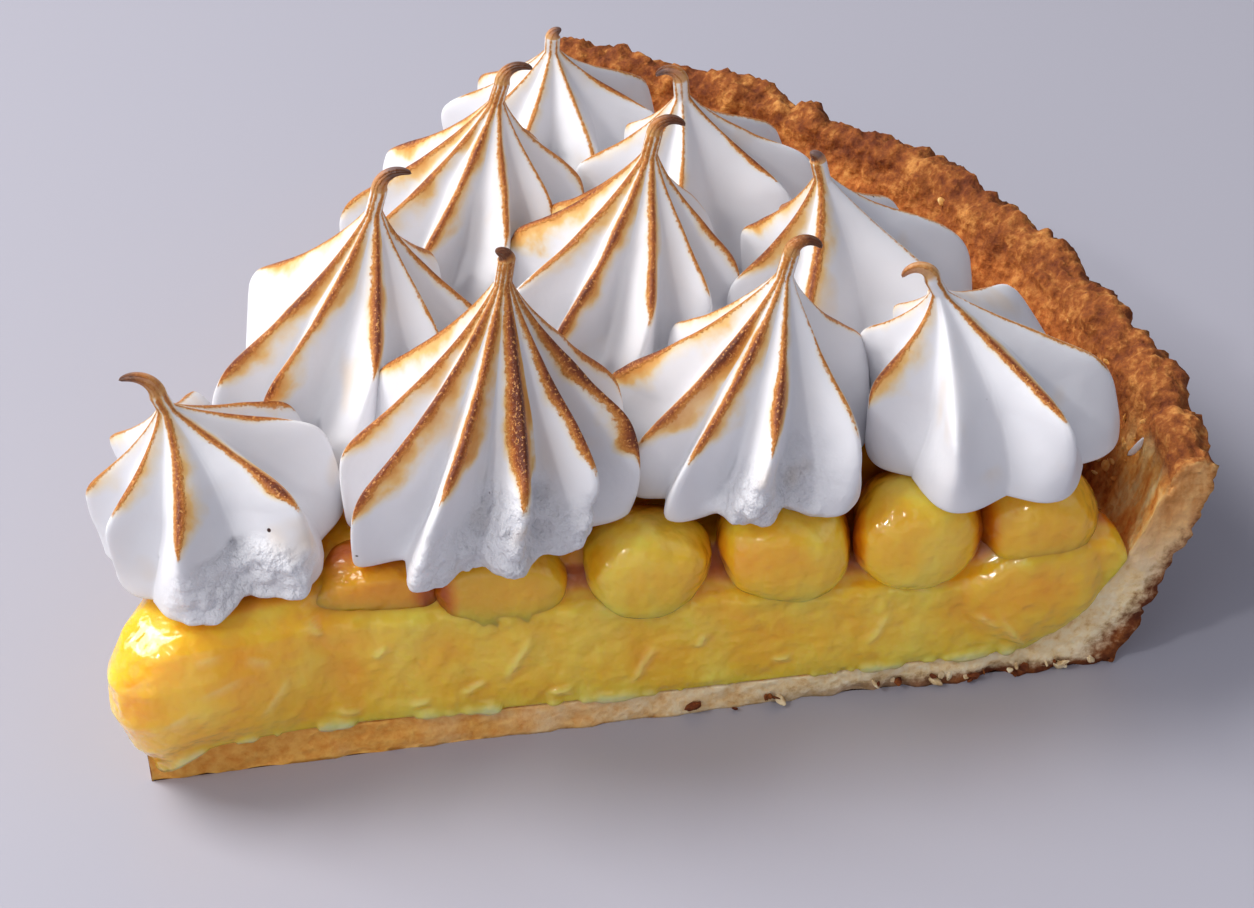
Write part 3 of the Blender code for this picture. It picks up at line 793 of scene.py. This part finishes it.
def drop_places():
    """Every drop's name and place: the front cut's as the knife left them, the others evenly spaced."""
    places = {}
    for number, distance in enumerate(FRONT_DROPS, 1):
        places[f"drop_front_{number}"] = inset_place(distance, -1)
    for number in range(REAR_DROP_COUNT):
        places[f"drop_rear_{number + 1}"] = inset_place(REAR_DROP_START + REAR_DROP_PITCH * number, 1)
    for number in range(RIM_DROP_COUNT):
        angle = np.array(RIM_DROP_START + RIM_DROP_PITCH * number)
        places[f"drop_rim_{number + 1}"] = np.array([*TART_CENTRE, 0]) + directions(angle) * RIM_DROP_RADIUS
    return places


def press_back(spots, outwards, limit, softness):
    """Bring spots back to end at that limit along outwards: past the start of a soft stretch before it,
    the distance grows by a hyperbolic tangent only."""
    past = np.maximum(spots @ outwards - limit + softness, 0)
    kept = softness * np.tanh(past / softness)
    return spots - outwards * (past - kept)[..., None]


def press_together(spots, place, others, width, into, softness):
    """Flatten spots against the neighbours nearer than width, each on the upright plane that lies that
    far past midway between the two."""
    for other in others:
        away = other - place
        length = np.linalg.norm(away)
        if 0 < length < width:
            away = away / length
            spots = press_back(spots, away, place @ away + length / 2 + into, softness)
    return spots


def keep_inside_wall(spots):
    """Push spots back inside the crust's inner face at their own height."""
    outwards = spots[..., :2] - TART_CENTRE
    length = np.linalg.norm(outwards, axis=-1)
    limit = wall_inner(np.minimum(spots[..., 2], RIM_HEIGHT)) - 2 * GAP
    share = np.minimum(1, limit / np.maximum(length, 1e-9))
    inside = spots.copy()
    inside[..., :2] = TART_CENTRE + outwards * share[..., None]
    return inside


def drop_grid(centre, radius, places, overhang, seed):
    """A ball, dented by lumps and nicked, sunk onto the layer and flattened against its neighbours. The
    second result is painted shade at each point: darker where it lies between the drops and under the
    meringue."""
    ball = ball_grid(DROP_RINGS, DROP_ROUND)
    dents = DENT_DEPTH * lumps(ball + seed, DENT_SIZE, seed) \
        + NICK_DEPTH * rough(ball + seed, NICK_SIZE, seed + 5)
    spots = ball * (radius * (1 + dents))[..., None] + centre
    above = np.maximum(spots[..., 2] - centre[2], 0)
    flattened = np.minimum(1, (deck(centre[0]) + HEADROOM - centre[2]) / radius)
    spots[..., 2] -= above * (1 - flattened)
    spots = press_back(spots, -inwards, overhang, OVERHANG_SOFTNESS)
    spots = press_back(spots, -rear_inwards, OVERHANG, OVERHANG_SOFTNESS)
    spots = press_together(spots, centre, places, NEIGHBOUR_RADII * radius, DROP_PRESS,
                           DROP_PRESS_SOFTNESS)
    spots = keep_inside_wall(spots)
    front = np.minimum(spots @ inwards, spots @ rear_inwards)
    low = np.minimum(centre[2], seat(spots[..., 0])) - 2 * GAP - SAG * step_up(-front, *SAG_REACH)
    spots[..., 2] = np.maximum(spots[..., 2], low)
    # Painted shade: darker where a neighbouring drop is near, and further in from the cuts and the rim,
    # under the meringue.
    nearest = np.min([np.linalg.norm(spots - other, axis=-1) for other in places
                      if not np.allclose(other, centre)], 0)
    covered = np.minimum(front, COVERED_RADIUS - np.linalg.norm(spots[..., :2] - TART_CENTRE, axis=-1))
    deep = np.maximum(step_up(-nearest, -1.45 * DROP_RADIUS, -0.98 * DROP_RADIUS),
                      step_up(covered, 0.0030, 0.0100))
    return spots, deep


all_drops = drop_places()
drop_centres = [place + np.array([0, 0, DROP_CENTRE_HEIGHT]) for place in all_drops.values()]
drop_curd = make_curd_finish("piped_curd")
for drop_number, (drop_name, drop_centre) in enumerate(zip(all_drops, drop_centres)):
    overhang = FRONT_OVERHANGS[drop_number] if drop_number < len(FRONT_OVERHANGS) else OVERHANG
    drop_spots, drop_painted_shade = drop_grid(drop_centre, DROP_RADIUS, drop_centres, overhang, drop_number)
    drop_painted_shade = np.clip(drop_painted_shade + FRONT_PAINTED_SHADES.get(drop_number, 0), 0, 1)
    drop_piece = new_mesh(drop_name.replace("drop", "curd_drop"), drop_spots.reshape(-1, 3) + SLICE_POINT,
                          grid_quads(DROP_RINGS, DROP_ROUND, closed=True), drop_curd,
                          {"deep": drop_painted_shade, "pale": 0 * drop_painted_shade})
    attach(drop_piece, "root")
    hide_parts(drop_name)


# The kisses: stiff meringue piped through an open star tip, pulled up to a peak that leans and hooks over
# as the tip lets go. A torch has run over them, so that the ridges are burnt and the valleys are white.
LEAN_SIDE = np.array([0.779, -0.627, 0])


@dataclass
class Kiss:
    """One kiss: its place, widest radius and height, the share of the height at which its ridges flare
    into wings, how far its peak leans along LEAN_SIDE, the hook of its tip (side, radius, turn in degrees
    and how burnt), the patch where its foot is torn (azimuth and half-width in degrees), and its ridges
    as {azimuth in degrees: (how burnt, how far out it reaches)}."""
    place: tuple
    radius: float
    height: float
    wing: float
    lean: float
    hook: tuple
    torn: tuple
    ridges: dict


KISSES = (
    Kiss((0.0157, 0.0048), 0.0146, 0.0234, 0.48, -0.0048, (-1, 0.0028, 115, 0.8), (258, 34),
         {12: (0.7, 1.0), 60: (0.4, 1.0), 110: (0.4, 0.92), 150: (0.5, 0.90), 182: (0.7, 0.88),
          228: (0.9, 0.97), 283: (1.0, 1.02), 347: (0.8, 1.0)}),
    Kiss((0.0412, -0.0102), 0.0184, 0.0325, 0.30, 0.0036, (-1, 0.0010, 100, 2.2), (250, 40),
         {20: (0.7, 0.95), 60: (0.7, 0.95), 112: (0.7, 1.0), 160: (0.75, 1.10), 183: (1.1, 1.12),
          213: (1.1, 1.06), 248: (1.5, 0.96), 276: (0.9, 0.96), 305: (1.3, 1.03), 342: (0.8, 0.95)}),
    Kiss((0.0396, 0.0147), 0.0172, 0.0315, 0.36, 0.0058, (1, 0.0024, 125, 1.2), (0, 0),
         {12: (0.8, 1.0), 55: (0.8, 1.0), 98: (0.9, 1.06), 170: (0.9, 0.98), 197: (0.9, 0.96),
          245: (1.1, 0.95), 285: (0.4, 0.96), 318: (0.9, 1.0)}),
    Kiss((0.0677, -0.0246), 0.0172, 0.0285, 0.30, 0.0042, (1, 0.0017, 160, 1.1), (240, 26),
         {35: (0.7, 0.95), 86: (0.7, 1.0), 125: (0.9, 1.04), 176: (1.1, 1.04), 200: (1.1, 1.0),
          233: (0.8, 0.96), 274: (0.3, 0.97), 348: (0.6, 1.0)}),
    Kiss((0.0709, 0.0024), 0.0168, 0.0305, 0.36, 0.0045, (1, 0.0019, 150, 1.2), (0, 0),
         {3: (0.7, 1.0), 48: (0.8, 1.0), 91: (0.9, 1.0), 117: (1.1, 1.02), 168: (0.9, 0.98),
          200: (0.9, 0.95), 242: (0.8, 0.95), 275: (0.5, 0.97), 305: (0.7, 1.0)}),
    Kiss((0.0663, 0.0272), 0.0164, 0.0290, 0.38, 0.0058, (1, 0.0023, 130, 1.2), (0, 0),
         {8: (0.7, 1.0), 50: (0.8, 1.0), 95: (0.8, 1.05), 143: (0.8, 1.0), 175: (0.7, 0.96),
          208: (0.9, 0.95), 248: (0.7, 0.96), 285: (0.5, 0.98), 320: (0.7, 1.0)}),
    Kiss((0.0903, -0.0395), 0.0166, 0.0228, 0.46, -0.0070, (-1, 0.0017, 165, 0.45), (0, 0),
         {28: (0.4, 1.00), 62: (0.3, 1.02), 90: (0.4, 0.95), 120: (0.4, 0.95), 166: (0.8, 0.97),
          216: (0.05, 1.0), 265: (0.9, 1.04), 316: (0.35, 0.92)}),
    Kiss((0.0903, -0.0163), 0.0154, 0.0268, 0.42, -0.0038, (-1, 0.0010, 90, 1.6), (0, 0),
         {22: (0.4, 1.08), 50: (0.5, 1.0), 78: (1.1, 1.0), 106: (0.8, 0.97), 160: (0.9, 0.97),
          208: (0.9, 0.97), 290: (0.2, 1.0), 344: (0.5, 1.10)}),
    Kiss((0.0893, 0.0108), 0.0150, 0.0268, 0.46, -0.0010, (-1, 0.0016, 150, 1.0), (0, 0),
         {5: (0.5, 1.10), 44: (0.4, 1.05), 86: (0.5, 1.0), 134: (0.4, 1.0), 178: (0.4, 1.0),
          220: (0.3, 1.0), 290: (0.9, 1.0), 330: (0.5, 1.08)}),
    Kiss((0.0865, 0.0358), 0.0152, 0.0232, 0.46, 0.0012, (1, 0.0010, 100, 1.0), (0, 0),
         {0: (0.5, 1.08), 42: (0.5, 1.04), 88: (0.5, 1.0), 124: (0.5, 1.0), 165: (0.4, 1.0),
          208: (0.4, 1.0), 256: (0.4, 1.0), 310: (0.7, 1.04)}),
)
KISS_ROUND = 240
KISS_RINGS = 120
UNDERSIDE_RINGS = 6
TENT_POWER = 1.45
CREST_CORNER = 9
VALLEY_CORNER = 3
FOOT_TUCK = 0.25
STRAIGHT_SKIRT = 0.60
LIP_SHARE = 0.07
RIDGE_DEPTH_FOOT = 0.13
RIDGE_DEPTH_PEAK = 0.36
EVEN_SPACING = math.radians(40)
CREST_ROUNDING = 0.00030
WING_LIFT = 0.045
TWIST = 0.35
HOOK_START = 0.85
STEM_RADIUS = 0.00098
STEM_TAPER = 0.66
WANDER = math.radians(4)
TEAR_HEIGHT = 0.36
TEAR_DEPTH = 0.0011
DROOP = 0.0011
KISS_PRESS = 0.0016
KISS_PRESS_SOFTNESS = 0.0035
SWELL_DEPTH = 0.00030
SWELL_SIZE = 0.0065
FINE_SWELL_SIZE = 0.0028
CRUMPLE_SIZE = 0.0038
CRUMPLE_CRUMB_SIZE = 0.0022
PATCH_SIZE = 0.005
WING_LIFT_SPAN = 0.16
BAND_WIDTH = 0.00078
WHITE = (0.74, 0.735, 0.765)


def soft_min(first, second, power):
    """The smaller of two lengths, with a rounded corner where they cross."""
    return (first ** -power + second ** -power) ** (-1 / power)


def kiss_profile(rise, wing, tuck, corner):
    """Share of the widest radius at a share of the height: a skirt with a rounded lip, tucked in towards
    the foot, and a concave tent above it. The corner between the two is the rounder, the smaller corner."""
    below = np.clip(1 - rise / wing, 0, 1)
    lip = np.sqrt(1 - 0.5 * np.clip(1 - rise / LIP_SHARE, 0, 1) ** 2)
    skirt = (1 - tuck * below ** 2) * lip
    tent = np.maximum(1.03 * (1 - rise) / (1 - wing), 1e-3) ** TENT_POWER
    return soft_min(skirt, tent, corner)


def kiss_grid(kiss, seed):
    """Points of a kiss about its own place, and what its finish needs at each of them.

    The girth is scored by valleys between the ridges. Across the tent a valley follows the absolute sine,
    so that the ridges are sharp. Towards the foot it turns into one less the absolute cosine, which gives
    round lobes with creases between them. The whole twists as it climbs, and its tip bends over.
    """
    side, hook_radius, hook_turn, tip_burn = kiss.hook
    chance = np.random.default_rng(seed)
    azimuth = np.linspace(0, 2 * math.pi, KISS_ROUND, endpoint=False)[None]
    climb = np.concatenate([np.zeros(UNDERSIDE_RINGS), np.linspace(0, 1, KISS_RINGS)])[:, None]
    shrink = np.concatenate([np.linspace(0, 1, UNDERSIDE_RINGS, endpoint=False), np.ones(KISS_RINGS)])
    rise = np.minimum(1, climb / HOOK_START)

    crests = np.radians(sorted(kiss.ridges))
    count = len(crests)
    burns, reaches = np.array([kiss.ridges[degrees] for degrees in sorted(kiss.ridges)]).T
    around = np.concatenate([crests - 2 * math.pi, crests, crests + 2 * math.pi])
    wander = WANDER * lumps(np.stack(np.broadcast_arrays(np.cos(azimuth), np.sin(azimuth), rise), -1)
                            + seed, 0.8, seed + 3)
    place = np.interp(azimuth + wander, around, np.arange(-count, 2 * count))
    ridge = np.round(place).astype(int) % count
    after = np.floor(place).astype(int) % count
    spacing = np.mod(np.roll(crests, -1) - crests, 2 * math.pi)[after]
    from_crest = place - np.round(place)
    phase = math.pi * place

    below = np.clip(1 - rise / kiss.wing, 0, 1)
    tuck = FOOT_TUCK * (1 - kiss.wing / STRAIGHT_SKIRT)
    outer = kiss.radius * kiss_profile(rise, kiss.wing, tuck, CREST_CORNER)
    inner = kiss.radius * kiss_profile(rise, kiss.wing, tuck, VALLEY_CORNER)
    rounding = CREST_ROUNDING * math.pi / (spacing * np.maximum(outer, STEM_RADIUS))
    sharp = (np.sqrt(np.sin(phase) ** 2 + rounding ** 2) - rounding) / np.sqrt(1 + rounding ** 2)
    lobed = 1 - np.abs(np.cos(phase))
    valley = sharp * (1 - below) + (0.65 * lobed + 0.35 * np.sin(phase) ** 2) * below
    depth = RIDGE_DEPTH_FOOT + (RIDGE_DEPTH_PEAK - RIDGE_DEPTH_FOOT) * step_up(1 - below, 0, 1)
    depth = depth * np.sqrt(spacing / EVEN_SPACING)
    near = np.cos(math.pi * from_crest) ** 2
    flare = 1 + (reaches[ridge] - 1) * (0.3 + 0.7 * near) * step_up(1 - rise, 0.1, 0.5)
    lobe = 1 + chance.uniform(-0.06, 0.06, count)[ridge] * near * below
    girth = outer + (inner - outer) * step_up(valley, 0, 1)
    scored = np.maximum(girth * (1 - depth * valley) * flare * lobe, STEM_RADIUS)
    scored = scored * shrink[:, None]

    turned = directions(azimuth + TWIST * (rise - kiss.wing))
    neck = kiss.height - hook_radius
    spine = LEAN_SIDE * (kiss.lean * rise ** 1.6)[..., None]
    spine[..., 2] += neck * rise
    wing_lift = WING_LIFT * kiss.height * (0.5 - valley) \
        * np.exp(-((rise - kiss.wing) / WING_LIFT_SPAN) ** 2)
    points = spine + turned * scored[..., None]
    points[..., 2] += wing_lift
    swell = lumps(points + 0.1 * seed, SWELL_SIZE, seed) \
        + 0.35 * lumps(points + 0.1 * seed, FINE_SWELL_SIZE, seed + 1)
    points = points + turned * (SWELL_DEPTH * swell * step_up(outer, 0.003, 0.009)
                                * shrink[:, None])[..., None]
    points[..., 2] -= DROOP * (1 - valley) * below ** 3 * chance.uniform(0.1, 1.0, count)[ridge]
    middle, width = np.radians(kiss.torn)
    from_middle = np.mod(azimuth - middle + math.pi, 2 * math.pi) - math.pi
    tear = np.exp(-(from_middle / max(width, 1e-3)) ** 4) \
        * (1 - step_up(rise + 0.10 * lumps(points, PATCH_SIZE, seed + 9), 0.6 * TEAR_HEIGHT, TEAR_HEIGHT))
    crumpled = rough(points, CRUMPLE_SIZE, seed + 20) \
        + 0.5 * domes(points, CRUMPLE_CRUMB_SIZE, seed + 23) - 0.6
    points = points + turned * (TEAR_DEPTH * crumpled * tear * shrink[:, None])[..., None]

    along = np.clip((climb - HOOK_START) / (1 - HOOK_START), 0, 1)
    bend = along * math.radians(hook_turn)
    sideways = LEAN_SIDE * side
    hooked = spine + sideways * (hook_radius * (1 - np.cos(bend)))[..., None]
    hooked[..., 2] += hook_radius * np.sin(bend)
    across = sideways * np.cos(bend)[..., None] - np.array([0, 0, 1]) * np.sin(bend)[..., None]
    level = np.cross([0, 0, 1], sideways)
    stem = STEM_RADIUS * (1 - STEM_TAPER * along) * np.sqrt(np.maximum(0, 1 - along ** 10))
    hooked = hooked + (across * (turned @ sideways)[..., None]
                       + level * (turned @ level)[..., None]) * stem[..., None]
    points = np.where((climb > HOOK_START)[..., None], hooked, points)

    crest = np.abs(from_crest) * spacing * scored
    later = from_crest > 0
    fringe = crest * np.where(later, 0.55, 1.15)
    end = kiss.wing + chance.uniform(-0.08, 0.10, count)[ridge]
    burnt = burns[ridge] * (0.8 + 0.35 * lumps(points + 0.3 * seed, PATCH_SIZE, seed + 2))
    band = BAND_WIDTH * burnt * step_up(rise, end - 0.05, end + 0.09)
    band = band * (1 - 0.62 * step_up(rise, 0.55, 0.95))
    values = {"crest": crest * 1000, "fringe": fringe * 1000, "band": band * 1000,
              "tip": along * tip_burn + 0 * azimuth, "torn": tear}
    return points, values


def make_meringue_finish():
    """White meringue, faintly translucent, with granular burnt bands along the ridges, a golden fringe
    beside them, a toasted stem that is darkest at its tip, tan patches, a few black specks, and a crumbly
    grain where it is torn."""
    meringue = Finish("meringue", {"Subsurface Weight": 0.25, "Subsurface Radius": (1.0, 0.9, 0.85),
                                   "Subsurface Scale": 0.0018, "IOR": 1.35})
    grit, mottle = meringue.grain(0.00042, 3.0, contrast=0.7), meringue.grain(0.0032, 3.0)
    band, tip = meringue.attribute("band"), meringue.attribute("tip")
    reach_out = band * (0.6 + 0.8 * mottle)
    core = reach_out - meringue.attribute("crest") + (grit - 0.5) * 0.55
    fringe = reach_out * 1.5 - meringue.attribute("fringe") + (mottle - 0.5) * 0.5
    golden = meringue.ramp(meringue.between(fringe, -0.30, 0.75), (
        (0.0, WHITE), (0.30, (0.76, 0.68, 0.57)), (0.65, (0.76, 0.50, 0.20)),
        (1.0, (0.66, 0.29, 0.06))))
    scorched = meringue.ramp(meringue.between(core, -0.05, 0.75), (
        (0.0, (0.64, 0.27, 0.055)), (0.30, (0.42, 0.135, 0.026)), (0.65, (0.24, 0.058, 0.014)),
        (1.0, (0.13, 0.030, 0.011))))
    speckle = meringue.between(meringue.grain(0.00034, 2.0, contrast=0.6), 0.56, 0.66)
    scorched = meringue.mix(scorched, (0.72, 0.34, 0.10), speckle * 0.75)
    touched = meringue.between(band, 0.02, 0.12)
    colour = meringue.mix(WHITE, golden, touched)
    colour = meringue.mix(colour, (0.74, 0.56, 0.36), 0.45 * meringue.between(
        meringue.grain(0.0095, 2.0), 0.60, 0.76))
    colour = meringue.mix(colour, (0.05, 0.02, 0.015), meringue.between(meringue.cells(0.009), 0.034, 0.022))
    colour = meringue.mix(colour, scorched, meringue.between(core, -0.10, 0.08) * touched)
    stem = meringue.ramp(tip + (mottle - 0.5) * 0.5 + (grit - 0.5) * 0.4, (
        (0.05, (0.66, 0.36, 0.12)), (0.38, (0.42, 0.15, 0.036)), (0.68, (0.085, 0.022, 0.011))))
    colour = meringue.mix(colour, stem, meringue.between(tip, 0.02, 0.10) * 0.9)
    burnt = meringue.between(core, -0.1, 0.15) * touched
    meringue.shade(Base_Color=colour, Roughness=0.50 - 0.14 * burnt,
                   Normal=meringue.relief(grit * burnt, 0.00022, meringue.relief(
                       meringue.grain(0.0016, 3.0, contrast=0.6) * meringue.attribute("torn"), 0.0012,
                       meringue.relief(mottle, 0.00010))))
    return meringue


meringue = make_meringue_finish()
kiss_places = [np.array([*kiss.place, 0]) for kiss in KISSES]
for kiss_number, kiss in enumerate(KISSES, 1):
    kiss_place = kiss_places[kiss_number - 1]
    kiss_spots, kiss_values = kiss_grid(kiss, kiss_number)
    kiss_spots = press_together(kiss_spots + kiss_place, kiss_place, kiss_places,
                                NEIGHBOUR_RADII * kiss.radius, KISS_PRESS, KISS_PRESS_SOFTNESS)
    kiss_spots[..., 2] += deck(kiss_spots[..., 0])
    kiss_spots = keep_inside_wall(kiss_spots)
    kiss_piece = new_mesh(f"meringue_kiss_{kiss_number}", kiss_spots.reshape(-1, 3) + SLICE_POINT,
                          grid_quads(*kiss_spots.shape[:2], closed=True), meringue, kiss_values)
    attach(kiss_piece, "root")
    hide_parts(f"kiss_{kiss_number}")


# The fleck: a torn bit of meringue, stuck on its edge to the inner face of the wall near the front cut.
FLECK_PLACE = np.array([0.1047, -0.0502, 0.0238])
FLECK_LENGTH = 0.0036
FLECK_WIDTH = 0.0010
FLECK_THICKNESS = 0.0005

along_front = directions(np.array(-HALF_ANGLE))
upright = np.array([0, 0, 1.0])
fleck_way = 0.6 * along_front + 0.8 * upright
fleck_side = 0.8 * along_front - 0.6 * upright
fleck_axes = np.stack([fleck_way * FLECK_LENGTH, fleck_side * FLECK_WIDTH, inwards * FLECK_THICKNESS]) / 2
zero = np.zeros(1)
fleck_piece = scatter("meringue_fleck", FLECK_PLACE[None], fleck_axes[None], meringue, 31,
                      {"crest": zero + 9, "fringe": zero + 9, "band": zero, "tip": zero, "torn": zero})
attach(fleck_piece, "root")
